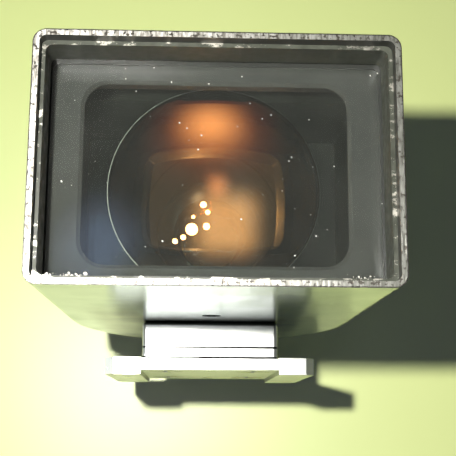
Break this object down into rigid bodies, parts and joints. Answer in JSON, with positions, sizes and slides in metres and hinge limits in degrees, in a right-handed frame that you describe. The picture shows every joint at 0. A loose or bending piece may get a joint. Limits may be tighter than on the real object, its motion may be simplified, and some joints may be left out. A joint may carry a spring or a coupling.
{
  "type": "accessory viewfinder",
  "caption": "Shoe-mounted optical bright-line viewfinder: a rectangular chromed metal body with a masked front window, a round eyepiece and a foot that slides into an accessory shoe.",
  "frame": {"origin": "on the optical axis at the eyepiece's rear face", "axes": "+Z along the optical axis out of the front window, -Y towards the foot, +X to the right seen from in front"},
  "size_m": [0.0254, 0.0223, 0.054],
  "materials": {
    "chrome_plate": "polished plating over brass, worn at the rim",
    "black_enamel": "black enamel, chipped at the front edge",
    "window_glass": "clear, dusty",
    "black_seal": "matte black gasket",
    "mask_paint": "dark grey-green matte paint",
    "blackened_brass": "chemically blackened",
    "coated_glass": "amber semi-mirror coating on the hollow",
    "steel_screw": "turned",
    "black_baffle": "matte black",
    "reticle_glass": "clear with a printed frame",
    "eye_glass": "clear",
    "black_ring": "satin black, knurled",
    "foot_chrome": "satin plating",
    "steel_pin": "ground"
  },
  "bodies": {
    "root": {"body_shell": "chrome_plate", "front_liner": "black_enamel", "window_glass": "window_glass", "window_seal": "black_seal", "field_mask": "mask_paint", "lens_spacer": "blackened_brass", "objective_lens": "coated_glass", "lens_sleeve": "blackened_brass", "set_screw": "steel_screw", "light_baffle": "black_baffle", "eyepiece_barrel": "chrome_plate", "reticle_glass": "reticle_glass", "reticle_spacer": "blackened_brass", "eye_lens": "eye_glass", "retaining_ring": "blackened_brass", "eyepiece_ring": "black_ring", "foot_block": "foot_chrome", "foot_shim": "foot_chrome", "foot_plate": "foot_chrome", "foot_screws": "steel_screw", "foot_pins": "steel_pin"}
  },
  "joints": []
}
